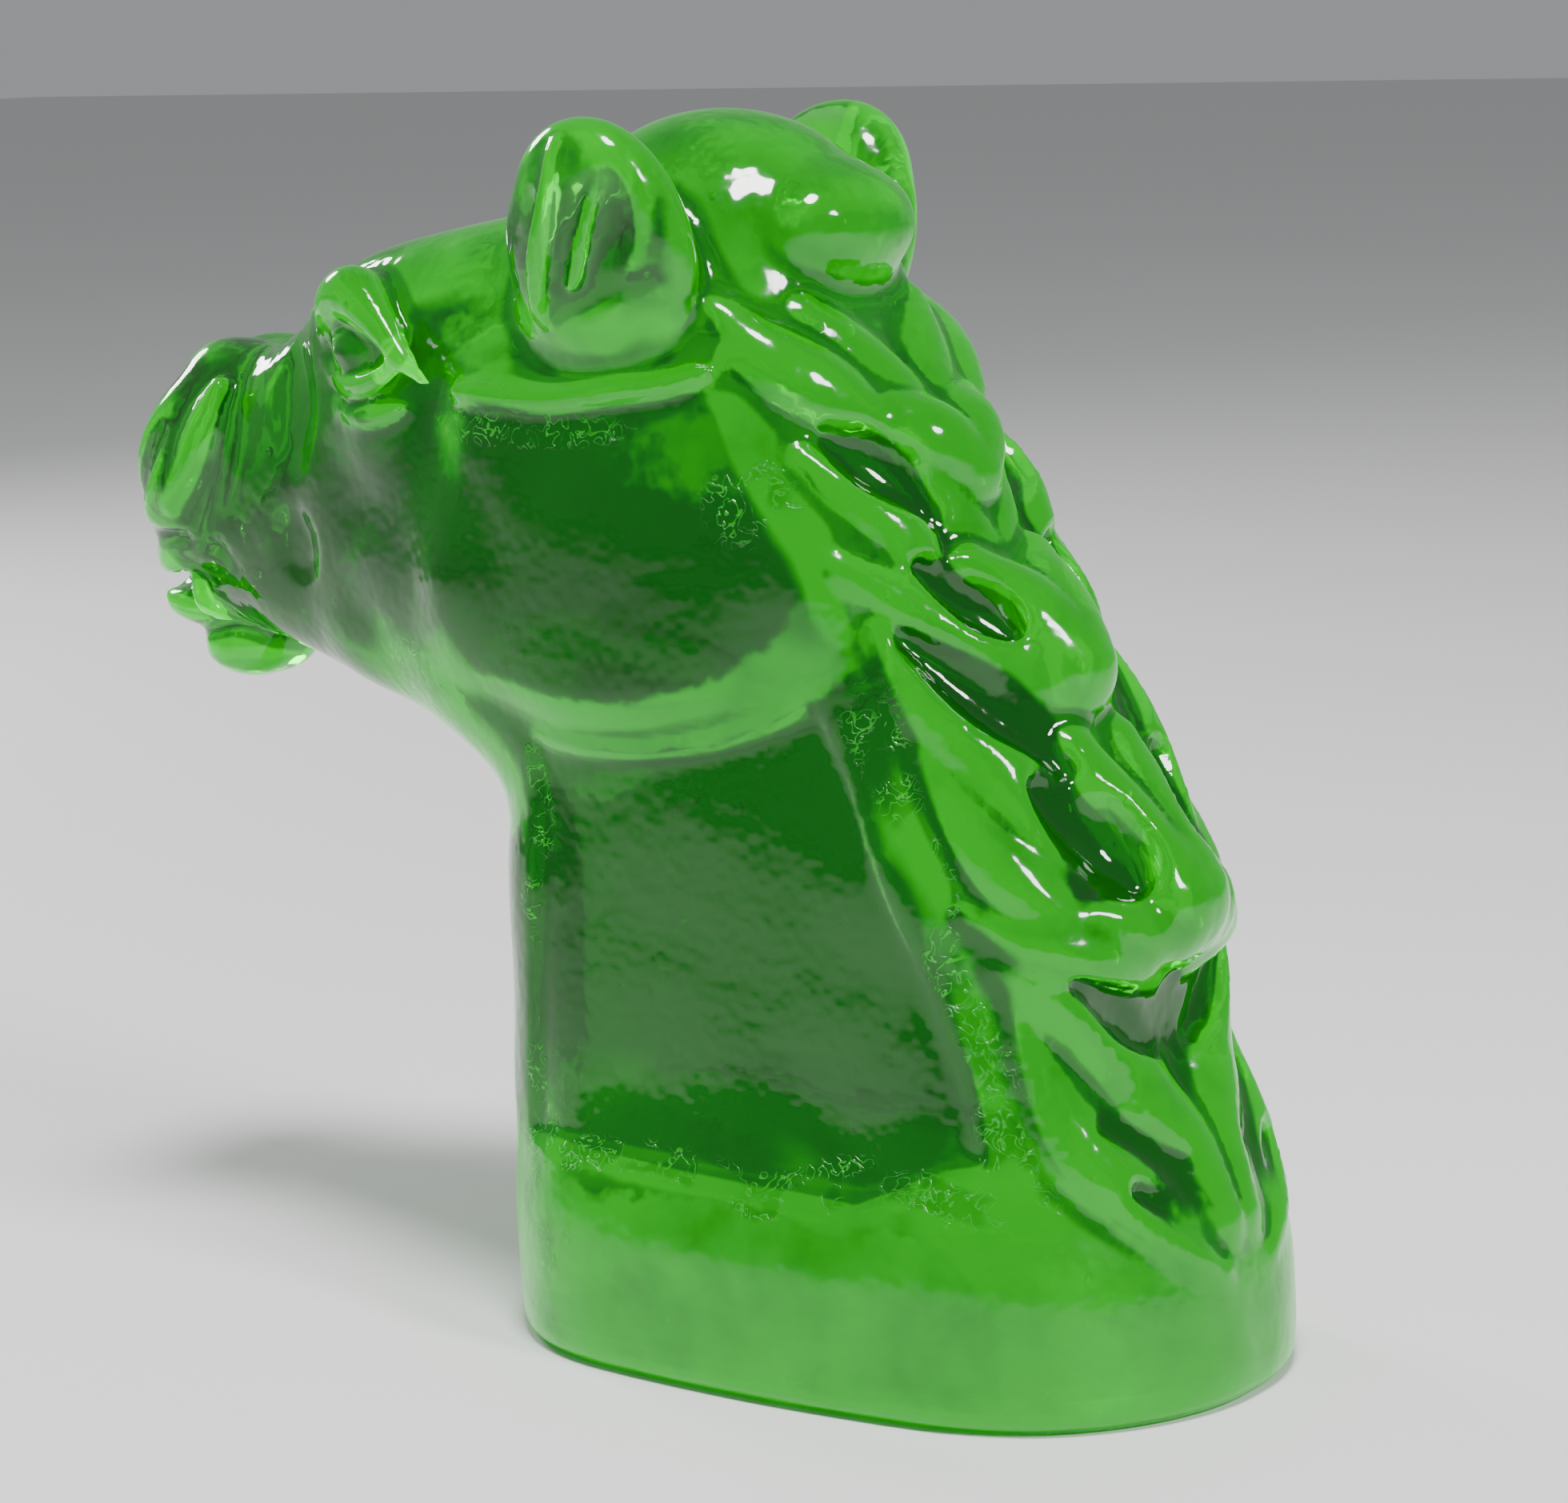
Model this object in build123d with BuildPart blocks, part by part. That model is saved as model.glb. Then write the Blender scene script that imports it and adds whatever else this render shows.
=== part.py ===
"""Solid glass horse head, a shelf ornament or bookend of cast uranium glass.

The horse looks along -X, its left side is -Y, and it stands on the ground flat face at Z = 0.
The origin is the centre of that face. The glass is one casting: each node is one sculpted
region of it. Neighbouring regions meet face to face, so together they fill the casting.
"""

import os

from build123d import *

# Driving dimensions, millimetres and degrees
FOOT_LENGTH = 104.0
FOOT_WIDTH = 67.0
FOOT_HEIGHT = 20.0
FOOT_CORNER = 29.0
FOOT_DRAFT = 4.0
GROUND_BEVEL = 1.5

NECK_FRONT = -50.0
NECK_WIDTH = 58.0
NECK_CORNER = 22.0
NAPE_HEIGHT = 100.0

CHEEK_WIDTH = 60.0
HEAD_JOINT = -90.0
MUZZLE_TIP = -123.0
MUZZLE_WIDTH = 37.0
MOUTH_LINE = 97.0

# Rounded lumps on the head, as ellipsoids: full axes along X, Y and Z, then centre
FORELOCK_AXES = (46.0, 34.0, 35.0)
FORELOCK_CENTRE = (-24.0, 0.0, 142.2)
EAR_AXES = (33.0, 14.0, 42.0)
EAR_CENTRE = (-28.0, 24.5, 139.3)
EAR_SPLAY = 24.0
EAR_LEAN = 14.0
BROW_AXES = (25.0, 13.0, 11.0)
BROW_CENTRE = (-65.0, 22.0, 135.0)
BROW_SLANT = 24.0
EYE_AXES = (13.0, 10.0, 10.0)
EYE_CENTRE = (-67.0, 24.0, 127.5)
NOSTRIL_AXES = (9.0, 8.0, 13.0)
NOSTRIL_CENTRE = (MUZZLE_TIP + 7, MUZZLE_WIDTH / 2, 112.0)
NOSTRIL_SLANT = 25.0

MANE_WIDTH = 48.0
LOCK_THICKNESS = 27.0
LOCK_SLOPE = 52.0

# Neck, from the foot up: (height, back edge)
NECK_STATIONS = (
    (FOOT_HEIGHT, 48.0),
    (42.0, 42.0),
    (62.0, 36.0),
    (82.0, 28.0),
    (NAPE_HEIGHT, 19.0),
)

# Skull, from the nape forward: (x, top, bottom, width, corner radius)
SKULL_STATIONS = (
    (12.0, 128.0, 90.0, 40.0, 16.0),
    (-6.0, 141.0, 83.0, 54.0, 18.0),
    (-30.0, 147.5, 78.0, CHEEK_WIDTH, 17.0),
    (-56.0, 145.5, 77.5, CHEEK_WIDTH - 1.0, 17.0),
    (-76.0, 141.5, 82.5, 48.0, 17.0),
    (HEAD_JOINT, 135.0, 87.0, 37.0, 14.0),
)

# Muzzle, from the skull forward, in the same terms
MUZZLE_STATIONS = (
    (HEAD_JOINT, 134.5, MOUTH_LINE, 35.0, 12.0),
    (-102.0, 130.0, MOUTH_LINE, 34.0, 12.0),
    (-113.0, 127.5, MOUTH_LINE, MUZZLE_WIDTH, 13.0),
    (MUZZLE_TIP, 120.0, MOUTH_LINE + 2.0, 27.0, 10.0),
)

# Lower jaw and chin, from the skull forward, in the same terms
JAW_STATIONS = (
    (HEAD_JOINT, MOUTH_LINE, 84.5, 27.0, 6.0),
    (-102.0, MOUTH_LINE, 80.5, 22.0, 7.0),
    (-112.0, MOUTH_LINE - 0.5, 81.0, 21.0, 7.0),
    (-118.0, MOUTH_LINE - 1.0, 86.0, 16.0, 4.5),
)

# Mane locks, from the nape down: (x of the tip, z of the tip, length)
MANE_LOCKS = (
    (19.0, 115.0, 48.0),
    (26.0, 102.0, 46.0),
    (35.0, 87.0, 47.0),
    (42.0, 73.0, 46.0),
    (51.0, 56.0, 48.0),
    (51.0, 40.0, 42.0),
    (56.0, 18.0, 50.0),
)


def across(x, top, bottom):
    """Plane square to the horse's length, centred between top and bottom."""
    return Plane(origin=(x, 0, (top + bottom) / 2), x_dir=(0, 1, 0), z_dir=(-1, 0, 0))


def ellipsoid(axes):
    """Ellipsoid at the origin with these full axes along X, Y and Z."""
    with BuildPart() as lump:
        Sphere(0.5)
        scale(by=axes)
    return lump.part


def beside(centre, side, splay, lean):
    """Place of a lump on one side of the head, -1 for the left and 1 for the right."""
    x, y, z = centre
    return Location((x, side * y, z), (-side * splay, lean, 0))


def save(piece, name):
    """Labels one region and writes it as the node of that name."""
    piece.part.label = name
    export_step(piece.part, f"parts/{name}.step")
    print(f"{name}: {piece.part.volume / 1000:.1f} cm3, {len(piece.part.solids())} solid")


os.makedirs("parts", exist_ok=True)

# Skull with its two broad cheeks
with BuildPart() as skull:
    for x, top, bottom, width, corner in SKULL_STATIONS:
        with BuildSketch(across(x, top, bottom)):
            RectangleRounded(width, top - bottom, corner)
    loft()
save(skull, "skull")

# Foot: the thick slab that the glass stands on, with a ground bevel round its flat face
with BuildPart() as foot:
    with BuildSketch():
        RectangleRounded(FOOT_LENGTH - FOOT_DRAFT, FOOT_WIDTH - FOOT_DRAFT, FOOT_CORNER)
    with BuildSketch(Plane.XY.offset(FOOT_HEIGHT / 3)):
        RectangleRounded(FOOT_LENGTH, FOOT_WIDTH, FOOT_CORNER)
    with BuildSketch(Plane.XY.offset(FOOT_HEIGHT)):
        RectangleRounded(FOOT_LENGTH - FOOT_DRAFT, FOOT_WIDTH - FOOT_DRAFT, FOOT_CORNER)
    loft()
    chamfer(foot.edges().group_by(Axis.Z)[0], GROUND_BEVEL)
save(foot, "foot")

# Neck: flat-sided column that narrows towards the nape
with BuildPart() as neck:
    for height, back in NECK_STATIONS:
        with BuildSketch(Plane.XY.offset(height)):
            with Locations(((back + NECK_FRONT) / 2, 0)):
                RectangleRounded(back - NECK_FRONT, NECK_WIDTH, NECK_CORNER)
    loft()
    add(skull.part, mode=Mode.SUBTRACT)
save(neck, "neck")

# Muzzle down to the mouth line, with a nostril hollow on each side
nostril = ellipsoid(NOSTRIL_AXES)
with BuildPart() as muzzle:
    for x, top, bottom, width, corner in MUZZLE_STATIONS:
        with BuildSketch(across(x, top, bottom)):
            RectangleRounded(width, top - bottom, corner)
    loft()
    for side in (-1, 1):
        with Locations(beside(NOSTRIL_CENTRE, side, 0, NOSTRIL_SLANT)):
            add(nostril, mode=Mode.SUBTRACT)
save(muzzle, "muzzle")

# Lower jaw with the chin
with BuildPart() as lower_jaw:
    for x, top, bottom, width, corner in JAW_STATIONS:
        with BuildSketch(across(x, top, bottom)):
            RectangleRounded(width, top - bottom, corner)
    loft()
    add(muzzle.part, mode=Mode.SUBTRACT)
save(lower_jaw, "lower_jaw")

# Forelock: the mound on the poll between the ears
mound = ellipsoid(FORELOCK_AXES)
with BuildPart() as forelock:
    with Locations(FORELOCK_CENTRE):
        add(mound)
    add(skull.part, mode=Mode.SUBTRACT)
save(forelock, "forelock")

# Ears: short rounded cups, seated in the skull and splayed outwards
cup = ellipsoid(EAR_AXES)
for side, name in ((-1, "ear_left"), (1, "ear_right")):
    with BuildPart() as ear:
        with Locations(beside(EAR_CENTRE, side, EAR_SPLAY, EAR_LEAN)):
            add(cup)
        add(skull.part, mode=Mode.SUBTRACT)
        add(forelock.part, mode=Mode.SUBTRACT)
    save(ear, name)

# Brows and eyes: a hooded ridge over each eyeball
ridge = ellipsoid(BROW_AXES)
eyeball = ellipsoid(EYE_AXES)
for side, hand in ((-1, "left"), (1, "right")):
    with BuildPart() as brow:
        with Locations(beside(BROW_CENTRE, side, 0, BROW_SLANT)):
            add(ridge)
        add(skull.part, mode=Mode.SUBTRACT)
    save(brow, f"brow_{hand}")
    with BuildPart() as eye:
        with Locations(beside(EYE_CENTRE, side, 0, 0)):
            add(eyeball)
        add(skull.part, mode=Mode.SUBTRACT)
        add(brow.part, mode=Mode.SUBTRACT)
    save(eye, f"eye_{hand}")

# Mane: thick locks that trail down and back, each tucked under the one above
above = [skull.part, neck.part, foot.part, forelock.part]
slope = Vector(1, 0, 0).rotate(Axis.Y, LOCK_SLOPE)
for number, (x, z, length) in enumerate(MANE_LOCKS, start=1):
    tress = ellipsoid((length, MANE_WIDTH, LOCK_THICKNESS))
    middle = Vector(x, 0, z) - slope * (length / 2)
    with BuildPart() as lock:
        with Locations(Location(middle, (0, LOCK_SLOPE, 0))):
            add(tress)
        for neighbour in above:
            add(neighbour, mode=Mode.SUBTRACT)
    save(lock, f"mane_lock_{number}")
    above.append(lock.part)
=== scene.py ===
"""Horse head cast in uranium glass: a shelf ornament that stands on a ground flat foot."""
import math

import bmesh
import bpy
import numpy as np
from mathutils import Matrix, Vector


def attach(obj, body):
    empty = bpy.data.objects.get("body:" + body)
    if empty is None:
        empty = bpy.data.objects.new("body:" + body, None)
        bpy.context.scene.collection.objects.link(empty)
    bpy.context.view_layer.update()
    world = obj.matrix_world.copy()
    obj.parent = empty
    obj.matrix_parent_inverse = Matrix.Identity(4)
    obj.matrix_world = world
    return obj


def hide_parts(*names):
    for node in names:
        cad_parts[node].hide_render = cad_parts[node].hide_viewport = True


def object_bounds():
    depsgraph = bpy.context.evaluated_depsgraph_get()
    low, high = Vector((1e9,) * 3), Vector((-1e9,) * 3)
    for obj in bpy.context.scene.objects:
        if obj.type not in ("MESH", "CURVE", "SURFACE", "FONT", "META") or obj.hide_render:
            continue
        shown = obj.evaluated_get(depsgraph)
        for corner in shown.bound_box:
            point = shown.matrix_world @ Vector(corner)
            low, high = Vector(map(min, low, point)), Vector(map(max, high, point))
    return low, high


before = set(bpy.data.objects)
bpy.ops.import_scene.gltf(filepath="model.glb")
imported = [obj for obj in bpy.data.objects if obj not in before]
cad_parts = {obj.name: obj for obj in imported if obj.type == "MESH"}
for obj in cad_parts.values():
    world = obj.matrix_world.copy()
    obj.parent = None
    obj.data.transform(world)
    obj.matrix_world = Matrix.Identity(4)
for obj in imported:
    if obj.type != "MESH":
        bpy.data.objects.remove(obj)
cad_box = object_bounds()


# ---------------------------------------------------------------------------------------------
# Table and studio. The head stands on a plain pale table under a pale sky; three soft round lamps
# light it from above, from the mane side and from beyond the nose, so that the glass has edges.
MM = 0.001
head_height = cad_box[1][2] - cad_box[0][2]

camera_data = bpy.data.cameras.new("camera")
camera = bpy.data.objects.new("camera", camera_data)
bpy.context.collection.objects.link(camera)
bpy.context.scene.camera = camera
EYE_POINT = Vector((308.4, -464.0, 174.5)) * MM
EYE_AZIMUTH, EYE_PITCH, EYE_ROLL = math.radians(35), math.radians(9.85), math.radians(-1.61)
LENS = 101.0
camera_data.lens = LENS
camera_data.sensor_width = 36.0
camera_data.clip_start = 0.01
camera_data.clip_end = 20.0
aim = Matrix.Rotation(EYE_AZIMUTH, 4, "Z") @ Matrix.Rotation(math.pi / 2 - EYE_PITCH, 4, "X")
camera.matrix_world = Matrix.Translation(EYE_POINT) @ aim @ Matrix.Rotation(EYE_ROLL, 4, "Z")


def plain_mesh(name, verts, faces, smooth=True):
    """Mesh object from points in metres."""
    mesh = bpy.data.meshes.new(name)
    mesh.from_pydata([tuple(v) for v in verts], [], [tuple(f) for f in faces])
    mesh.update()
    if smooth:
        mesh.shade_smooth()
    piece = bpy.data.objects.new(name, mesh)
    bpy.context.collection.objects.link(piece)
    return piece


floor = plain_mesh("floor", [(-6, -6, 0), (6, -6, 0), (6, 6, 0), (-6, 6, 0)], [(0, 1, 2, 3)], smooth=False)
floor_paint = bpy.data.materials.new("floor_paint")
floor_paint.use_nodes = True
floor_shader = floor_paint.node_tree.nodes["Principled BSDF"]
floor_shader.inputs["Base Color"].default_value = (0.7, 0.7, 0.69, 1)
floor_shader.inputs["Roughness"].default_value = 0.6
floor.data.materials.append(floor_paint)

world = bpy.data.worlds.new("studio")
bpy.context.scene.world = world
world.use_nodes = True
world.node_tree.nodes["Background"].inputs["Color"].default_value = (0.78, 0.8, 0.82, 1)
world.node_tree.nodes["Background"].inputs["Strength"].default_value = 0.4
for name, place, size, power in (
    ("lamp_above", (0.2, -0.25, 1.1), 0.28, 17),
    ("lamp_mane_side", (0.75, -0.12, 0.6), 0.2, 7),
    ("lamp_nose_side", (-0.9, 0.3, 0.5), 0.3, 6),
):
    lamp_data = bpy.data.lights.new(name, "AREA")
    lamp_data.shape = "DISK"
    lamp_data.size = size
    lamp_data.energy = power
    lamp = bpy.data.objects.new(name, lamp_data)
    bpy.context.collection.objects.link(lamp)
    lamp.location = place
    towards = Vector((0, 0, head_height / 2)) - Vector(place)
    lamp.rotation_euler = towards.to_track_quat("-Z", "Y").to_euler()


# ---------------------------------------------------------------------------------------------
# Body of the casting: flat-sided neck and cheeks that flow out of a thick oval foot. The caster's
# pattern is the same on both sides of the middle plane, so it is modelled as clay for one side.
GRAIN = 0.92


class Clay:
    """Clay for one side of the head: signed distance to the surface in mm, negative inside."""

    def __init__(self, low, high, grain):
        self.grain = grain
        counts = [int(math.ceil((b - a) / grain)) + 1 for a, b in zip(low, high)]
        self.axes = [a + grain * np.arange(n) for a, n in zip(low, counts)]
        self.axes[1] -= self.axes[1][-1]
        self.field = np.full(counts, 60.0, np.float32)

    def window(self, low, high):
        """Slices of the block that cover a box, with the coordinates of its grains."""
        cuts = []
        for axis, a, b in zip(self.axes, low, high):
            first = int(np.clip(np.floor((a - axis[0]) / self.grain), 0, len(axis) - 1))
            last = int(np.clip(np.ceil((b - axis[0]) / self.grain) + 1, first + 1, len(axis)))
            cuts.append(slice(first, last))
        x, y, z = (axis[cut] for axis, cut in zip(self.axes, cuts))
        return tuple(cuts), x[:, None, None], y[None, :, None], z[None, None, :]

    def press_on(self, cuts, shape, melt):
        """Adds clay, with the joint melted over this width."""
        old = self.field[cuts]
        overlap = np.maximum(melt - np.abs(old - shape), 0) / melt
        self.field[cuts] = np.minimum(old, shape) - overlap * overlap * melt / 4

    def scoop_out(self, cuts, shape, melt):
        """Takes clay away, with the edge melted over this width."""
        old = self.field[cuts]
        overlap = np.maximum(melt - np.abs(old + shape), 0) / melt
        self.field[cuts] = np.maximum(old, -shape) + overlap * overlap * melt / 4


def through(points, pieces=6, closed=False):
    """Smooth curve through the points, in short straight pieces."""
    points = np.array(points, float)
    if closed:
        points = np.concatenate([points[-1:], points, points[:2]])
    else:
        points = np.concatenate([2 * points[:1] - points[1:2], points, 2 * points[-1:] - points[-2:-1]])
    t = np.arange(pieces)[:, None] / pieces
    spans = []
    for a, b, c, d in zip(points, points[1:], points[2:], points[3:]):
        spans.append(0.5 * (2 * b + (c - a) * t + (2 * a - 5 * b + 4 * c - d) * t**2
                            + (3 * b - a - 3 * c + d) * t**3))
    if not closed:
        spans.append(points[-2:-1])
    return np.concatenate(spans)


def from_outline(x, z, outline):
    """Signed distance in the side view from each (x, z) to a closed outline, negative inside."""
    nearest = np.full(x.shape, 1e9)
    inside = np.zeros(x.shape, bool)
    for (ax, az), (bx, bz) in zip(outline, np.roll(outline, -1, axis=0)):
        ex, ez = bx - ax, bz - az
        t = np.clip(((x - ax) * ex + (z - az) * ez) / (ex * ex + ez * ez), 0, 1)
        nearest = np.minimum(nearest, (x - ax - t * ex) ** 2 + (z - az - t * ez) ** 2)
        if az != bz:
            inside ^= ((az > z) != (bz > z)) & (x < ex * (z - az) / ez + ax)
    return np.where(inside, -1, 1) * np.sqrt(nearest)


# How far a mark is blunted, in mm, and how steeply its pull falls off with distance
SPREAD_SOFT, SPREAD_FALL = 8.0, 1.8


def spread(x, z, marks):
    """Values given at marked places, blended smoothly over the side view."""
    total, weight = 0, 0
    for mark_x, mark_z, *values in marks:
        pull = ((x - mark_x) ** 2 + (z - mark_z) ** 2 + SPREAD_SOFT**2) ** -SPREAD_FALL
        weight = weight + pull
        total = total + pull[..., None] * np.array(values)
    return np.moveaxis(total / weight[..., None], -1, 0)


# Side view of the body at the middle plane, from the front of the foot up and round to its back
PROFILE = (
    (-53.3, -50), (-53.3, -5), (-54, 7), (-53.2, 20), (-51, 40), (-50.5, 60), (-51.5, 69), (-57, 74.5),
    (-66, 78.5),
    (-78, 82), (-90, 85.5), (-98, 87.5), (-106, 90), (-110, 94), (-112, 99), (-113.5, 106), (-115, 112),
    (-113, 118.5), (-108, 124), (-103, 126), (-96, 127.5), (-89, 131), (-82, 137), (-73, 141.5), (-60, 144.5),
    (-46, 147), (-34, 150), (-22, 151), (-11, 148), (-5, 141), (-2, 135), (2.5, 128), (7, 120), (11.5, 112),
    (17, 102), (25, 91), (30.5, 80), (37, 69), (42.5, 60), (40, 50), (41, 41), (46.5, 30), (51.5, 19),
    (53.5, 7), (53, -5), (53, -50),
)
# (x, z, half the width, radius of the rounded edge)
FULLNESS = (
    (-45, 6, 31, 27), (-20, 6, 34, 30), (0, 6, 35, 31), (25, 6, 34, 30), (46, 6, 31, 27),
    (-45, 20, 29.5, 25), (-20, 20, 31.5, 26), (0, 20, 32, 26), (25, 20, 31.5, 26), (46, 20, 29, 25),
    (-45, 40, 28.5, 20), (-20, 42, 28.5, 18), (10, 42, 28.5, 16), (35, 38, 28, 20),
    (-45, 60, 28, 18), (-15, 65, 28, 15), (15, 62, 28, 14), (36, 62, 23, 15), (-48, 74, 24, 16),
    (-26, 105, 27.4, 14), (-50, 100, 26.4, 14), (5, 105, 26.4, 13), (-26, 88, 27.4, 14), (-62, 100, 22.5, 14),
    (-64, 118, 23.5, 13), (-40, 122, 27.5, 13), (-10, 124, 26.5, 14),
    (20, 95, 23, 14), (16, 112, 21, 14), (10, 128, 19, 14), (30, 80, 22, 14), (42, 60, 22, 15),
    (46, 40, 25, 18),
    (-75, 110, 19.5, 11), (-88, 108, 16.5, 10), (-100, 108, 14.5, 9), (-112, 108, 17, 12),
    (-118, 110, 15, 11),
    (-115, 98, 12, 9), (-104, 90, 10.5, 8), (-88, 90, 14, 10), (-72, 88, 18, 12),
    (-75, 136, 21, 13), (-60, 138, 22, 14), (-88, 128, 15, 10), (-100, 125, 12.5, 9), (-110, 120, 15, 10),
    (-45, 143, 22, 13), (-25, 146, 22, 15), (-5, 140, 21, 14),
)
clay = Clay((-128, -42, -3.1), (66, 0, 166), GRAIN)
side_x, side_z = np.meshgrid(clay.axes[0], clay.axes[2], indexing="ij")
past_edge = from_outline(side_x, side_z, through(PROFILE, closed=True))
half_width, edge_radius = spread(side_x, side_z, FULLNESS)
# The foot is an oval in plan, so its sides curve in towards both ends
FOOT_HALF_WIDTH, FOOT_TAPER, FOOT_HALF_LENGTH = 35.0, 5.5, 48.0
FOOT_TOP, FOOT_BLEND = 30.0, 14.0
foot = np.clip((FOOT_TOP - side_z) / FOOT_BLEND, 0, 1)
foot = foot * foot * (3 - 2 * foot)
half_width += foot * (FOOT_HALF_WIDTH - FOOT_TAPER * (side_x / FOOT_HALF_LENGTH) ** 2 - half_width)
edge_radius = np.minimum(edge_radius, half_width)


def ramp(distance, width):
    """0 outside an outline and 1 inside it, rising over a bevel of this width that starts at its edge."""
    rise = np.clip(-distance / width, 0, 1)
    return rise * rise * (3 - 2 * rise)


# The jaw plate stands proud of the neck inside a wide bevel
JAW_X, JAW_Z, JAW_LENGTH, JAW_HEIGHT = -27.0, 105.5, 42.0, 25.0
JAW_PROUD, JAW_BEVEL, JAW_FADE = 2.6, 7.0, 13.0
JAW_FADE_FROM, JAW_FADE_OVER = 88.0, 16.0
plate = np.hypot((side_x - JAW_X) / JAW_LENGTH, (side_z - JAW_Z) / JAW_HEIGHT)
bevel_width = JAW_BEVEL + JAW_FADE * np.clip((side_z - JAW_FADE_FROM) / JAW_FADE_OVER, 0, 1)
half_width += JAW_PROUD * ramp((plate - 1) * JAW_HEIGHT, bevel_width)
# The side of the neck is a flat panel, sunk between the front corner, the mane and the foot's band
NECK_PANEL = (
    (-41, 27), (-39, 60), (-41, 96), (2, 96), (12, 78),
    (21, 60), (28, 44), (31, 32), (14, 25), (-20, 26),
)
PANEL_DEPTH, PANEL_BEVEL = 1.2, 3.0
clear_of_jaw = (1 - plate) * JAW_HEIGHT
past_panel = np.maximum(from_outline(side_x, side_z, NECK_PANEL), clear_of_jaw)
half_width -= PANEL_DEPTH * ramp(past_panel, PANEL_BEVEL)
# Facets pressed into the side of the face, with a soft rim between them: (x, z, half length, half height)
FACETS = ((-83.5, 121, 6.0, 11.0), (-84.5, 102, 5.8, 6.8), (-105.5, 116.5, 4.2, 8.0))
FACET_DEPTH, FACET_BEVEL = 1.1, 3.6
for x, z, length, height in FACETS:
    facet = np.hypot((side_x - x) / length, (side_z - z) / height)
    half_width -= FACET_DEPTH * ramp((facet - 1) * length, FACET_BEVEL)

past_side = np.abs(clay.axes[1])[None, :, None] - half_width[:, None, :]
radius = edge_radius[:, None, :]
over_edge = np.maximum(past_edge[:, None, :] + radius, 0)
over_side = np.maximum(past_side + radius, 0)
clay.field[:] = np.minimum(np.maximum(past_edge[:, None, :], past_side) + radius, 0)
clay.field += np.hypot(over_edge, over_side) - radius
block = clay.field.copy()


def lump(centre, axes, turn=(0, 0, 0), melt=3.0, hollow=False):
    """Presses an ellipsoid into the clay, or scoops it out. Sizes are half axes, turns in degrees."""
    reach = max(axes) + melt + 3
    cuts, x, y, z = clay.window([c - reach for c in centre], [c + reach for c in centre])
    about_x, about_y, about_z = (Matrix.Rotation(math.radians(a), 3, axis) for a, axis in zip(turn, "XYZ"))
    turned = np.array(about_z @ about_y @ about_x)
    away = (x - centre[0], y - centre[1], z - centre[2])
    local = [sum(turned[i][k] * away[i] for i in range(3)) for k in range(3)]
    k0 = np.sqrt(sum((p / a) ** 2 for p, a in zip(local, axes)))
    k1 = np.sqrt(sum((p / a**2) ** 2 for p, a in zip(local, axes)))
    shape = k0 * (k0 - 1) / np.maximum(k1, 1e-6)
    if hollow:
        clay.scoop_out(cuts, shape, melt)
    else:
        clay.press_on(cuts, shape, melt)


def field_at(points, field, axes):
    """Field and its slope at any points, read between the grains. y is taken on the near side."""
    flip = np.where(points[:, 1] > 0, -1.0, 1.0)
    step = axes[0][1] - axes[0][0]
    near = np.stack([points[:, 0], points[:, 1] * flip, points[:, 2]], 1)
    spot = (near - [axis[0] for axis in axes]) / step
    base = np.clip(np.floor(spot).astype(int), 0, np.array(field.shape) - 2)
    part = spot - base
    value, slope = 0, np.zeros(points.shape)
    for corner in np.ndindex(2, 2, 2):
        weights = [part[:, a] if corner[a] else 1 - part[:, a] for a in range(3)]
        level = field[base[:, 0] + corner[0], base[:, 1] + corner[1], base[:, 2] + corner[2]]
        value = value + level * weights[0] * weights[1] * weights[2]
        for a in range(3):
            slope[:, a] += level * (1 if corner[a] else -1) * weights[a - 1] * weights[a - 2]
    slope[:, 1] *= flip
    return value, slope / step


def strand(points, radii, melt=2.0, hollow=False, proud=None):
    """Presses a tapering rope of clay along the points, or drags a round tool along them.

    With proud, the path follows the body's surface, and the thickest part of the rope stands that
    far out of it, or the tool goes that far in.
    """
    path = through(points, 5)
    sizes = np.maximum(through([(r, 0) for r in radii], 5)[:, 0], 0.3)
    if proud is not None:
        buried = (1 - proud / max(radii)) * sizes * (-1 if hollow else 1)
        for _ in range(4):
            value, slope = field_at(path, bare_body, clay.axes)
            path = path - ((value + buried) / (slope**2).sum(1).clip(0.3))[:, None] * slope
    reach = max(radii) + melt + 3
    cuts, x, y, z = clay.window(path.min(axis=0) - reach, path.max(axis=0) + reach)
    shape = np.full(clay.field[cuts].shape, 30.0, np.float32)
    for a, b, ra, rb in zip(path, path[1:], sizes, sizes[1:]):
        run = b - a
        t = np.clip(((x - a[0]) * run[0] + (y - a[1]) * run[1] + (z - a[2]) * run[2]) / (run @ run), 0, 1)
        away = (x - a[0] - t * run[0], y - a[1] - t * run[1], z - a[2] - t * run[2])
        gap = np.sqrt(away[0] ** 2 + away[1] ** 2 + away[2] ** 2)
        shape = np.minimum(shape, gap - (ra + t * (rb - ra)))
    if hollow:
        clay.scoop_out(cuts, shape, melt)
    else:
        clay.press_on(cuts, shape, melt)


# ---------------------------------------------------------------------------------------------
# Muzzle and lips: flared nostrils, an overhanging upper lip, a mouth slit that runs back to its
# corner, and a loose lower lip with the chin hanging below it.
lump((-107.5, -8, 111.5), (9, 10.5, 13.5), (0, 18, 0), melt=5)
lump((-102.5, -4, 123.5), (8, 7, 4.5), (0, 20, 0), melt=4)
lump((-111.5, -3, 98.5), (7, 9.5, 4.5), (0, -8, 0), melt=3)
lump((-110.5, -2, 91.2), (9, 8.5, 3.8), (0, 6, 0), melt=1.8)
lump((-106, -1, 85.6), (7, 8, 5), melt=1.8)
MOUTH = ((-124, 0, 94.5), (-116, -6, 94.8), (-108, -11, 95.5), (-99, -14.5, 97))
strand(MOUTH, (1.6, 1.5, 1.3, 0.7), 1.2, hollow=True)
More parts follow.
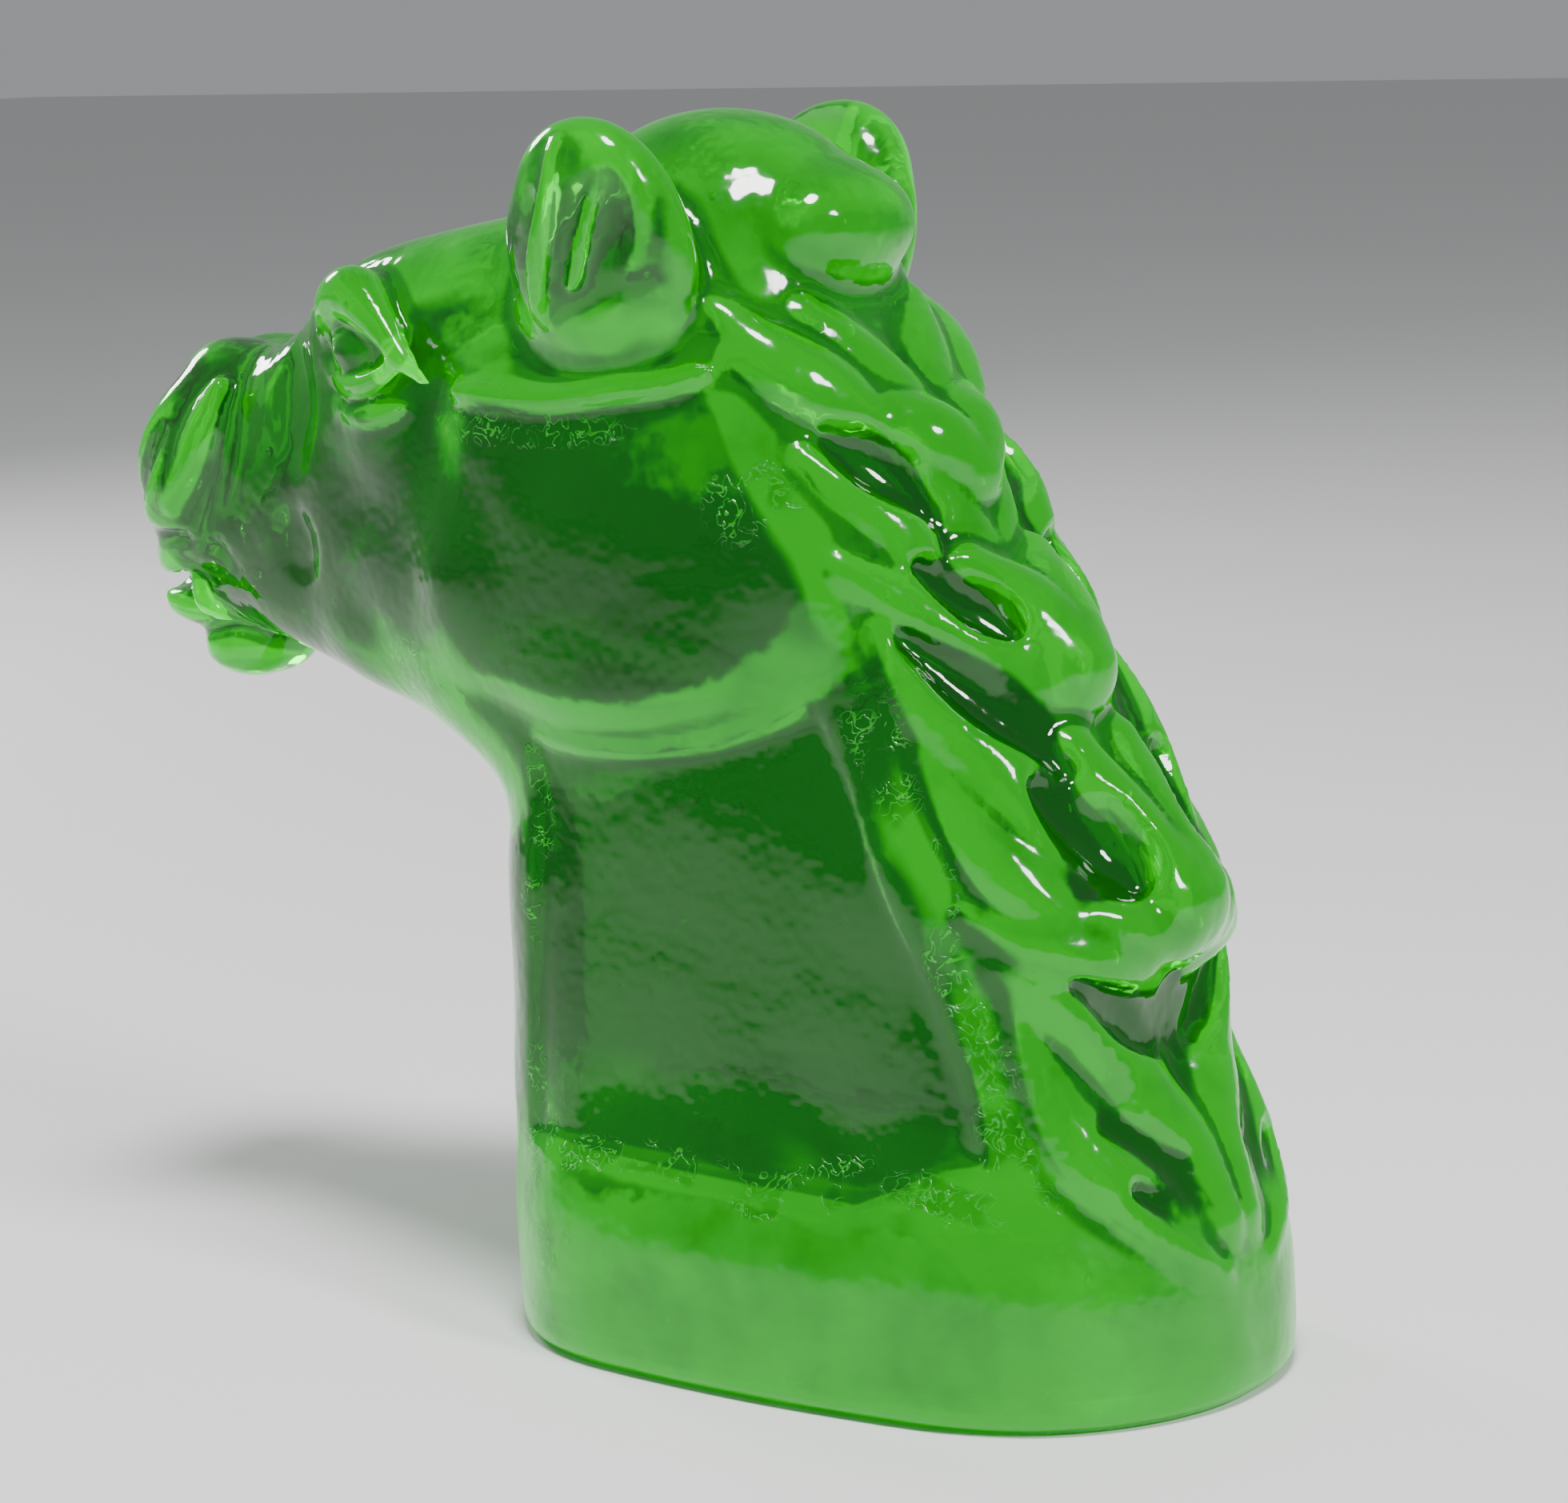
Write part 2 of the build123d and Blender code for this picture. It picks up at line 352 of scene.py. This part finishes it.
strand(((-124, -6, 94.5), (-112, -3, 95), (-106, 0, 95)), (1.3, 1.3, 1.0), 1.2, hollow=True)
strand(((-115, -15, 107), (-112, -18, 112), (-108, -18, 117)), (1.5, 2.6, 1.6), 1.5, hollow=True)
strand(((-106, -17, 107), (-103, -17, 111), (-101, -16.5, 116), (-99, -14.5, 123)), (1.2, 2.0, 2.2, 1.2), 2.5)
strand(((-118, -13, 104), (-113, -15, 101.5), (-106, -15, 102)), (0.8, 1.3, 0.8), 1.5, hollow=True)
strand(((-108, -11, 97), (-104, -14, 93), (-99, -14.5, 91)), (0.8, 1.4, 0.8), 1.5)
strand(((-101, -14.2, 101), (-98, -15, 97), (-99, -14.5, 92)), (0.6, 1.0, 0.6), 1.5, hollow=True)


# ---------------------------------------------------------------------------------------------
# Brows and eyes: a hooded brow slants back from over each eye, with the lid line below it. They are
# part of the same glass, and come out of the mould with their edges rounded by the heat.
lump((-67, -23, 129), (6.5, 5, 5), (0, 20, 0), melt=2, hollow=True)
lump((-67, -19, 129), (6, 5.2, 4.6), melt=1.2)
BROW = (
    (-75, -14, 130), (-73, -18.5, 134), (-68, -21.5, 136.5),
    (-62, -24, 133), (-57, -25.5, 128.5), (-53, -25.8, 125.5),
)
strand(BROW, (1.8, 3.6, 3.8, 2.4, 1.4, 0.5), 2)
strand(((-74, -19, 126.5), (-69, -22, 124.5), (-63, -24.5, 125.5), (-57, -25.5, 128.5)),
       (0.7, 1.3, 1.4, 0.8), 1.5)
strand(((-72, -20.5, 121.5), (-66, -22.6, 120.5), (-59, -24.5, 122)), (0.3, 0.9, 0.4), 2)
lump((-88, -6, 139), (6, 9, 5), melt=5, hollow=True)


# ---------------------------------------------------------------------------------------------
# Cheekbone: a low ridge of the same glass from behind the eye to the ear, with a shallow hollow
# pressed above it.
strand(((-48, -26.6, 125), (-32, -27.6, 124.5), (-16, -27, 126.5), (-8, -26, 128.5)), (0.4, 1.1, 0.9, 0.3), 3)
lump((-30, -30.5, 131.5), (16, 4, 2.6), (0, -3, 0), melt=3, hollow=True)


# ---------------------------------------------------------------------------------------------
# Ears: short rounded cups of the same glass, splayed outwards, each with a fold down its front and a
# hollow behind. They are thin enough to be seen through.
lump((-25, -24.5, 141.5), (14, 7, 18), (12, 6, 0), melt=3)
lump((-24, -28.5, 149.5), (9.5, 5, 9.8), (12, 6, 0), melt=2.5)
CUP = ((-16, -37.5, 155), (-17, -37, 147), (-20.5, -34.5, 140), (-27, -32, 135.5))
strand(CUP, (4.5, 6.8, 4.5, 0.8), 1.0, hollow=True)
lump((-12.5, -33, 132), (11, 6, 6.5), (0, -22, 0), melt=2, hollow=True)
strand(((-25, -33.5, 156.5), (-26, -34, 150), (-28.5, -33, 142), (-31, -30, 134.5)),
       (0.6, 1.2, 1.5, 1.2), 1.2)
strand(((-19, -32, 154), (-21, -32.5, 147), (-23.5, -32, 140), (-26, -31, 136)), (0.4, 0.8, 0.8, 0.5), 1.2)
strand(((-29, -32.5, 150), (-31.5, -32.5, 143), (-34, -30, 136)), (0.5, 1.1, 0.6), 1.2, hollow=True)
EAR_FOOT = ((-38, -29, 134), (-31, -31.5, 133.5), (-22, -31.5, 137), (-12, -30, 140))
strand(EAR_FOOT, (0.7, 1.5, 1.7, 1.0), 1.5, hollow=True)
strand(((-46, -26, 138), (-41, -28, 139.5), (-37, -29, 139)), (0.6, 1.2, 0.6), 1.5, hollow=True)


# ---------------------------------------------------------------------------------------------
# Forelock: a smooth mound of the same glass over the poll between the ears. It ends in a bump on
# the nape, and has no strands of its own.
lump((-23, 0, 144), (21, 18, 15.5), (0, 3, 0), melt=5)
lump((-5.5, 0, 145), (8, 12.5, 7.5), (0, 35, 0), melt=3)


# ---------------------------------------------------------------------------------------------
# Mane: thick locks that sweep down and back to curled tips, with deep hollows pressed between.
# Each is (points, radii, how proud) on the near side; the far side is its mirror image.
LOCKS = (
    (((-3, -12, 134), (4, -6, 128), (9, -2, 121), (13, 0, 115)), (3, 6, 7, 5), 3.0),
    (((-10, -21.5, 136), (-3, -19.5, 130), (4, -15, 125), (10, -9, 119), (12, -5, 116)),
     (2, 5, 6, 4, 1), 2.4),
    (((-6, -23, 131), (2, -20, 127), (8, -16, 122)), (2, 4, 1), 1.6),
    (((11, -14, 117), (14, -8, 116), (17, -4, 111), (20, 0, 105)), (2.5, 5, 6.5, 5), 3.0),
    (((7, -8, 122), (11, -4, 119), (13, 0, 115)), (3, 6, 6), 6.4),
    (((4, -22.5, 119), (10, -20, 115), (15, -16, 108), (17.5, -16, 101)), (1.5, 4.5, 5, 0.6), 2.4),
    (((10, -24, 105), (18, -18, 100), (24, -9, 95), (30, -3, 86), (34, 0, 77)), (2, 5, 6, 5, 1), 2.8),
    (((20, -7, 104), (25, -3, 99), (29.5, 0, 92.5)), (4, 7, 8), 7.4),
    (((14, -23, 97), (21, -21, 88), (28, -18, 80), (35, -15, 72), (38.5, -14, 67)), (2, 5, 6.5, 5, 0.6), 2.8),
    (((21, -24, 82), (28, -22, 72), (34, -20, 65), (40, -16, 61)), (1.5, 4.5, 5, 0.8), 2.4),
    (((34, -5, 82), (39, -3, 73), (43, -1, 63.5)), (4, 6.5, 8), 6.4),
    (((38, -14, 62), (42, -8, 59), (44, -2, 58)), (2, 4.5, 5), 3.0),
    (((27, -24, 63), (36, -20, 58.5), (43, -13, 55), (46, -4, 51)), (1.5, 3.4, 3.6, 2), 2.0),
    (((32, -25, 56), (39, -20, 51), (45, -11, 44), (48, -4, 35), (51, -2, 24)), (2, 6, 8, 7.5, 5), 2.8),
    (((34, -25, 52), (39, -23, 42), (44, -20, 33), (49, -13, 24), (52, -6, 17)), (1.5, 4.5, 6, 5, 1), 2.2),
)
HOLLOWS = (
    (((6, -19, 120.5), (11, -15, 117), (15, -10, 111)), (2, 5, 2), 2.4),
    (((17, -16, 105), (22, -11.5, 100), (26, -7, 97)), (1.5, 4, 2), 1.8),
    (((17, -21, 96), (25, -16, 88), (33, -9, 80)), (1.5, 4, 1.5), 1.8),
    (((33, -15, 78), (37, -11, 71), (41, -8, 66)), (2.5, 6.5, 2.5), 1.8),
    (((39, -18, 54), (44, -11.5, 49), (46, -5, 45)), (1.2, 3.2, 1.5), 1.4),
    (((44, -18, 38), (48, -12.5, 34.5), (50, -8, 32)), (1.5, 3.6, 1.5), -1.0),
    (((47, -16.5, 29.5), (50, -11, 25), (52, -6, 20)), (1.5, 4.2, 1.5), -0.4),
)
bare_body = clay.field.copy()
for points, radii, proud in LOCKS:
    strand(points, radii, melt=1.6, proud=proud)
for points, radii, deep in HOLLOWS:
    strand(points, radii, melt=1.4, hollow=True, proud=deep)


# ---------------------------------------------------------------------------------------------
# Ground foot: the underside of the casting is cut flat on the wheel, and its rim gets a narrow bevel,
# so that it stands steady and doesn't chip.
RIM_BEVEL = 1.6
height = clay.axes[2][None, None, :]
ground_rim = (clay.field - height + RIM_BEVEL) * math.sqrt(0.5)
clay.field = np.maximum(np.maximum(clay.field, -height), ground_rim).astype(np.float32)


# ---------------------------------------------------------------------------------------------
# Casting: both halves of the clay become one surface of uranium glass, poured into a mould in one go
# and fire-polished smooth. Its green glow is painted light, brightest where its surface turns.
JUST_INSIDE = -0.02


def close_pinches(field):
    """Fills in the grains where the surface would touch itself along an edge."""
    for axis in (0, 1, 2, 0, 1, 2):
        turned = np.moveaxis(field, axis, 0)
        a, b, c, d = turned[:, :-1, :-1], turned[:, 1:, :-1], turned[:, :-1, 1:], turned[:, 1:, 1:]
        b[(a < 0) & (d < 0) & (b >= 0) & (c >= 0)] = JUST_INSIDE
        a[(b < 0) & (c < 0) & (a >= 0) & (d >= 0)] = JUST_INSIDE


def skin(field, axes):
    """Closed surface where the field is 0, one point for each grain that it passes through."""
    solid = field < 0
    corners = [solid[i:solid.shape[0] - 1 + i, j:solid.shape[1] - 1 + j, k:solid.shape[2] - 1 + k]
               for i in (0, 1) for j in (0, 1) for k in (0, 1)]
    filled = sum(c.astype(np.int8) for c in corners)
    mixed = (filled > 0) & (filled < 8)
    cells = np.argwhere(mixed)
    number = np.full(mixed.shape, -1, np.int64)
    number[mixed] = np.arange(len(cells))
    total, count = np.zeros((len(cells), 3)), np.zeros(len(cells))
    for axis in range(3):
        others = [a for a in range(3) if a != axis]
        for i in (0, 1):
            for j in (0, 1):
                start = np.zeros(3, int)
                start[others[0]], start[others[1]] = i, j
                end = start.copy()
                end[axis] = 1
                a = field[tuple((cells + start).T)]
                b = field[tuple((cells + end).T)]
                cross = (a < 0) != (b < 0)
                t = np.where(cross, a / np.where(cross, a - b, 1), 0)
                place = cells + start + t[:, None] * (end - start)
                total += np.where(cross[:, None], place, 0)
                count += cross
    points = total / count[:, None]
    faces = []
    for axis in range(3):
        u, v = (axis + 1) % 3, (axis + 2) % 3
        a = np.take(solid, np.arange(solid.shape[axis] - 1), axis)
        b = np.take(solid, np.arange(1, solid.shape[axis]), axis)
        edges = np.argwhere(a != b)
        edges = edges[(edges[:, u] > 0) & (edges[:, v] > 0)]
        edges = edges[(edges[:, u] < solid.shape[u] - 1) & (edges[:, v] < solid.shape[v] - 1)]
        inward = a[tuple(edges.T)]
        ring = []
        for du, dv in ((1, 1), (0, 1), (0, 0), (1, 0)):
            cell = edges.copy()
            cell[:, u] -= du
            cell[:, v] -= dv
            ring.append(number[tuple(cell.T)])
        quads = np.stack(ring, 1)
        quads[~inward] = quads[~inward][:, ::-1]
        faces.append(quads)
    low = np.array([axis[0] for axis in axes])
    return low + points * (axes[0][1] - axes[0][0]), np.concatenate(faces)


close_pinches(clay.field)
both_sides = np.concatenate([clay.field, clay.field[:, -2::-1]], axis=1)
full_axes = [clay.axes[0], np.concatenate([clay.axes[1], -clay.axes[1][-2::-1]]), clay.axes[2]]
verts, quads = skin(both_sides, full_axes)
# Each point is moved onto the smooth form, a little at a time
SMALLEST_STEEP, LONGEST_MOVE = 0.25, 0.4
for _ in range(3):
    value, slope = field_at(verts, clay.field, clay.axes)
    steep = np.maximum((slope**2).sum(1), SMALLEST_STEEP)
    verts -= np.clip(value / steep, -LONGEST_MOVE, LONGEST_MOVE)[:, None] * slope

casting = plain_mesh("glass_casting", verts * MM, quads)
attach(casting, "root")
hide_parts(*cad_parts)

# How far each point stands proud of the plain block, in mm, below 0 in the pressed hollows
proud_of_block = casting.data.attributes.new("proud", "FLOAT", "POINT")
proud_of_block.data.foreach_set("value", field_at(verts, block, clay.axes)[0].astype(np.float32))
# How sharply the surface bends, above 0 on ridges and below 0 in creases: the clay next to its blur
blurred = clay.field
BLUR_ROUNDS = 5
for _ in range(BLUR_ROUNDS):
    for axis in range(3):
        rims = [(int(a == axis),) * 2 for a in range(3)]
        around = np.moveaxis(np.pad(blurred, rims, mode="reflect"), axis, 0)
        blurred = np.moveaxis((around[:-2] + 2 * around[1:-1] + around[2:]) / 4, 0, axis)
bend = casting.data.attributes.new("bend", "FLOAT", "POINT")
bend.data.foreach_set("value", field_at(verts, blurred, clay.axes)[0].astype(np.float32))


class Wire:
    """An output socket in a material: an expression on wires and numbers adds its Math nodes."""

    def __init__(self, tree, socket=None):
        self.tree, self.socket = tree, socket

    def node(self, kind, settings, sockets, out=0):
        """Adds a node: its settings first, then the values or links of its sockets."""
        node = self.tree.nodes.new("ShaderNode" + kind)
        for name, value in settings.items():
            setattr(node, name, value)
        for name, value in sockets.items():
            if isinstance(value, Wire):
                self.tree.links.new(value.socket, node.inputs[name])
            else:
                node.inputs[name].default_value = value
        return Wire(self.tree, node.outputs[out])

    def math(self, operation, *others):
        return self.node("Math", {"operation": operation}, dict(enumerate((self, *others))))

    def step(self, low, high):
        """0 below low, 1 above high, smooth between."""
        sockets = {"Value": self, "From Min": low, "From Max": high}
        return self.node("MapRange", {"interpolation_type": "SMOOTHSTEP"}, sockets)

    def blend(self, dark, light):
        """Colour that goes from dark at 0 to light at 1."""
        return self.node("Mix", {"data_type": "RGBA"}, {0: self, 6: dark, 7: light}, 2)

    def __add__(self, other):
        return self.math("ADD", other)

    def __sub__(self, other):
        return self.math("SUBTRACT", other)

    def __rsub__(self, other):
        return self.node("Math", {"operation": "SUBTRACT"}, {0: other, 1: self})

    def __mul__(self, other):
        return self.math("MULTIPLY", other)

    def __truediv__(self, other):
        return self.math("DIVIDE", other)

    __radd__, __rmul__ = __add__, __mul__


GLASS_IOR = 1.5
glass = bpy.data.materials.new("uranium_glass")
glass.use_nodes = True
shader = glass.node_tree.nodes["Principled BSDF"]
shader.inputs["Transmission Weight"].default_value = 1.0
shader.inputs["IOR"].default_value = GLASS_IOR
shader.inputs["Emission Strength"].default_value = 1.0
wires = Wire(glass.node_tree)
own_space = wires.node("TexCoord", {}, {}, "Object")
place = wires.node("VectorMath", {"operation": "SCALE"}, {0: own_space, "Scale": 1 / MM})
x, y, z = (wires.node("SeparateXYZ", {}, {0: place}, axis) for axis in "XYZ")
normal = wires.node("NewGeometry", {}, {}, "Normal")
facing = wires.node("SeparateXYZ", {}, {0: normal}, "Y").math("ABSOLUTE")
proud = wires.node("Attribute", {"attribute_name": "proud"}, {}, "Fac")
bend = wires.node("Attribute", {"attribute_name": "bend"}, {}, "Fac")


def cloud(size, detail, warp=0.0):
    """Soft noise from 0 to 1 with patches of this size in mm."""
    sockets = {"Vector": place, "Scale": 1 / size, "Detail": detail, "Distortion": warp}
    return wires.node("TexNoise", {}, sockets)


drift = cloud(22, 2) - 0.5
ragged = cloud(3.5, 2) - 0.5


def patch(centre_x, centre_z, length, height, soft=0.15, frayed=0.6):
    """1 inside an oval of the side view, with a frayed edge."""
    a, b = (x - centre_x) / length, (z - centre_z) / height
    inside = 1 - (a * a + b * b).math("SQRT")
    return (inside + frayed * ragged if frayed else inside).step(0, soft)


# The mane's front edge runs back by this much for each mm down
MANE_LEAN = 0.41
# The green glow is painted light: painted where the surface turns, where a feature stands proud,
# in the foot's band and round the jaw plate's bevel, and held dim on the neck's front and the cheek
mane = (x - MANE_LEAN * (125 - z) + 6 * ragged).step(2, 6) * z.step(22, 28) * (1 - z.step(124, 132))
neck_front = (1 - (x + 2 * drift).step(-39, -36)) * z.step(26, 34) * (1 - (z + 8 * ragged).step(66, 72))
cheek = patch(-60, 105, 17, 18, 0.4, 0.4)
turned = (1 - facing + 0.06 * drift).step(0.025, 0.10) * (1 - mane)
turned = turned * (1 - 0.85 * neck_front) * (1 - 0.8 * cheek)
raised = (proud + 0.9 * drift).step(0.5, 1.2)
band = 1 - (z + 8 * drift + 7 * ragged).step(24, 27)
across, up = (x - JAW_X) / JAW_LENGTH, (z - JAW_Z) / JAW_HEIGHT
from_jaw = (across * across + up * up).math("SQRT") + 0.10 * ragged
jaw_band = (from_jaw - 0.74).step(0, 0.05) * (1 - (from_jaw - 1.02).step(0, 0.05))
jaw_band = jaw_band * (1 - (z + 12 * drift).step(92, 108)) * x.step(-40, -35)
painted_glow = turned.math("MAXIMUM", 0.95 * raised).math("MAXIMUM", 0.85 * band).math("MAXIMUM", 0.8 * jaw_band)
# Chilled skin: clouded patches under the jaw, at the throat, at the jaw's end and behind the eye, lit up with
# painted glow
under_jaw, throat = patch(-58, 84, 9, 6), patch(-45, 72, 4, 6)
jaw_end, behind_eye = patch(-8, 119, 16, 8, 0.6, 1.2), patch(-42, 131, 14, 5, 0.6, 1.4)
for spot in (under_jaw, throat, 0.55 * jaw_end, 0.5 * behind_eye):
    painted_glow = painted_glow.math("MAXIMUM", spot)
# Painted shade in the pressed hollows, in the creases and over the crown, a dimmer painted glow on the thin
# muzzle and the ears, and painted highlights along the ridges
sunk = (-1 * proud).step(0.4, 1.0)
crease = (-1 * bend).step(0.03, 0.14)
ridge = (bend + 0.16 * ragged).step(0.10, 0.26)
thin = 1 - (x + 6 * drift).step(-84, -62)
ear = y.math("ABSOLUTE").step(22, 26) * z.step(134, 140) * (1 - x.step(-8, -4))
crown = z.step(134, 142)
painted_glow = painted_glow * (1 - 0.8 * sunk) * (0.8 + 1.1 * (cloud(9, 3) - 0.4)) * (1 - 0.35 * crown)
painted_glow = painted_glow * (1 - 0.75 * thin) * (1 - 0.7 * ear) + 0.55 * ridge * thin.math("MAXIMUM", ear)
painted_glow = (painted_glow + 0.18 * ridge) * (1 - 0.6 * crease)
# Crinkles where the skin chilled first: up the neck's front corner, along the top of the foot's band,
# down the mane's root, and in four ovals (x, z, half length, half height) on the face, jaw and foot
thread = (1 - ((cloud(2.4, 1, warp=1.5) - 0.5) / 0.03).math("ABSOLUTE")).step(0, 0.6)
wander = ((0.19 * x + 1.3).math("SINE") + (0.31 * z + 0.11 * x).math("SINE")) * 1.2
corner = (1 - ((x + 37.5 + wander) / 2.5).math("ABSOLUTE")).step(0, 0.4)
corner = corner * z.step(14, 20) * (1 - z.step(72, 84))
band_top = (1 - ((z - 28 + wander) / 3).math("ABSOLUTE")).step(0, 0.4) * (1 - x.step(30, 36))
mane_root = (1 - ((x - MANE_LEAN * (118 - z) + wander) / 4).math("ABSOLUTE")).step(0, 0.5)
mane_root = mane_root * z.step(26, 32) * (1 - z.step(84, 92))
crinkled = corner.math("MAXIMUM", band_top).math("MAXIMUM", mane_root)
for oval in ((-36, 120.5, 20, 2.8), (-3, 112, 7, 6), (-60, 87, 9, 5), (-33, 15, 6, 4)):
    crinkled = crinkled.math("MAXIMUM", patch(*oval, 0.5, 0))
crinkled = crinkled * cloud(6, 1).step(0.40, 0.52)
# The crinkle lines ripple the surface and are also painted bright into the glow
crinkle_and_glow = crinkled * thread
# Painted shade: the glow is dimmed over the crinkled areas
painted_glow = painted_glow * (1 - 0.35 * crinkled)
# Painted shade: the eye's hollow and specks at the front of the cheek are painted dark in the glow
eye_hollow = patch(-67, 129, 4.5, 3.2, 0.3, 0.2)
specks = patch(-75, 108, 4, 15, 0.3, 0.4) * (cloud(1.7, 0) - 0.6).step(0, 0.05)
painted_dark_spots = eye_hollow.math("MAXIMUM", specks)
# How much painted glow each place gets, from 0 to 1
painted_glow_level = ((painted_glow + 0.75 * crinkle_and_glow) * (1 - 0.8 * painted_dark_spots)).step(0, 1)
# Painted grey light over the cheek where it has no painted glow
painted_grey_light = patch(-66, 106, 13, 17, 0.7, 0.5) * (1 - painted_glow_level)

# The emission colour carries the painted glow, dim on the see-through muzzle and ears; the base colour is
# painted with it, brighter green where the glow is bright, darker where it is dim, and paler on the
# see-through parts
painted_skin_glow = painted_glow_level.blend((0.0, 0.072, 0.0005, 1), (0.0, 0.43, 0.001, 1))
painted_skin_glow = painted_grey_light.blend(painted_skin_glow, (0.016, 0.065, 0.018, 1))
clear = 0.85 * thin.math("MAXIMUM", ear) * (1 - painted_glow_level)
glow_colour = clear.blend(painted_skin_glow, (0.008, 0.030, 0.008, 1))
painted_light_tint = painted_glow_level.blend((0.004, 0.22, 0.004, 1), (0.01, 0.58, 0.01, 1))
painted_light_tint = (clear * (0.45 + 0.55 * ear)).blend(painted_light_tint, (0.26, 0.62, 0.24, 1))
dullness = 0.02 + 0.08 * cloud(15, 1) + 0.10 * band + 0.04 * painted_glow_level
RIPPLE_HEIGHT = 0.9 * MM
waves = 0.5 * cloud(7, 1) + 0.15 * cloud(1.6, 0) + 0.5 * crinkle_and_glow
ripple = wires.node("Bump", {}, {"Height": waves, "Distance": RIPPLE_HEIGHT, "Strength": 0.5})
for wire, socket in (
    (glow_colour, "Emission Color"), (painted_light_tint, "Base Color"), (dullness, "Roughness"), (ripple, "Normal"),
):
    wires.tree.links.new(wire.socket, shader.inputs[socket])
# Absorption per metre of glass
DEPTH_DENSITY = 110.0
depth = glass.node_tree.nodes.new("ShaderNodeVolumeAbsorption")
depth.inputs["Color"].default_value = (0.0, 0.74, 0.0, 1)
depth.inputs["Density"].default_value = DEPTH_DENSITY
glass.node_tree.links.new(depth.outputs[0], glass.node_tree.nodes["Material Output"].inputs["Volume"])
casting.data.materials.append(glass)


# ---------------------------------------------------------------------------------------------
# Seeds: small air bubbles left in the melt, drawn out a little as the glass sank into the mould.
# They lie just under the skin, at random places.
SEED_COUNT = 90
chance = np.random.default_rng(12)
near_skin = verts[chance.integers(0, len(verts), 6 * SEED_COUNT)]
slope = field_at(near_skin, clay.field, clay.axes)[1]
slope /= np.linalg.norm(slope, axis=1)[:, None]
centres = near_skin - slope * chance.uniform(1.4, 7.0, len(near_skin))[:, None]
sizes = chance.uniform(0.18, 0.55, len(centres))
kept = field_at(centres, clay.field, clay.axes)[0] < -1.0 - 2 * sizes
centres, sizes = centres[kept][:SEED_COUNT], sizes[kept][:SEED_COUNT]
ball = bmesh.new()
bmesh.ops.create_icosphere(ball, subdivisions=2, radius=1.0)
ball_verts = np.array([v.co for v in ball.verts])
ball_faces = np.array([[v.index for v in f.verts] for f in ball.faces])
ball.free()
drawn_out = np.array([1.0, 1.0, 1.7])
seed_verts = (centres[:, None] + ball_verts[None] * sizes[:, None, None] * drawn_out).reshape(-1, 3)
seed_faces = (ball_faces[None] + len(ball_verts) * np.arange(len(centres))[:, None, None]).reshape(-1, 3)
seeds = plain_mesh("seeds", seed_verts * MM, seed_faces)
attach(seeds, "root")
air = bpy.data.materials.new("seed_air")
air.use_nodes = True
air_shader = air.node_tree.nodes["Principled BSDF"]
air_shader.inputs["Transmission Weight"].default_value = 1.0
air_shader.inputs["IOR"].default_value = 1 / GLASS_IOR
air_shader.inputs["Roughness"].default_value = 0.02
air_shader.inputs["Base Color"].default_value = (0.9, 1.0, 0.9, 1)
seeds.data.materials.append(air)
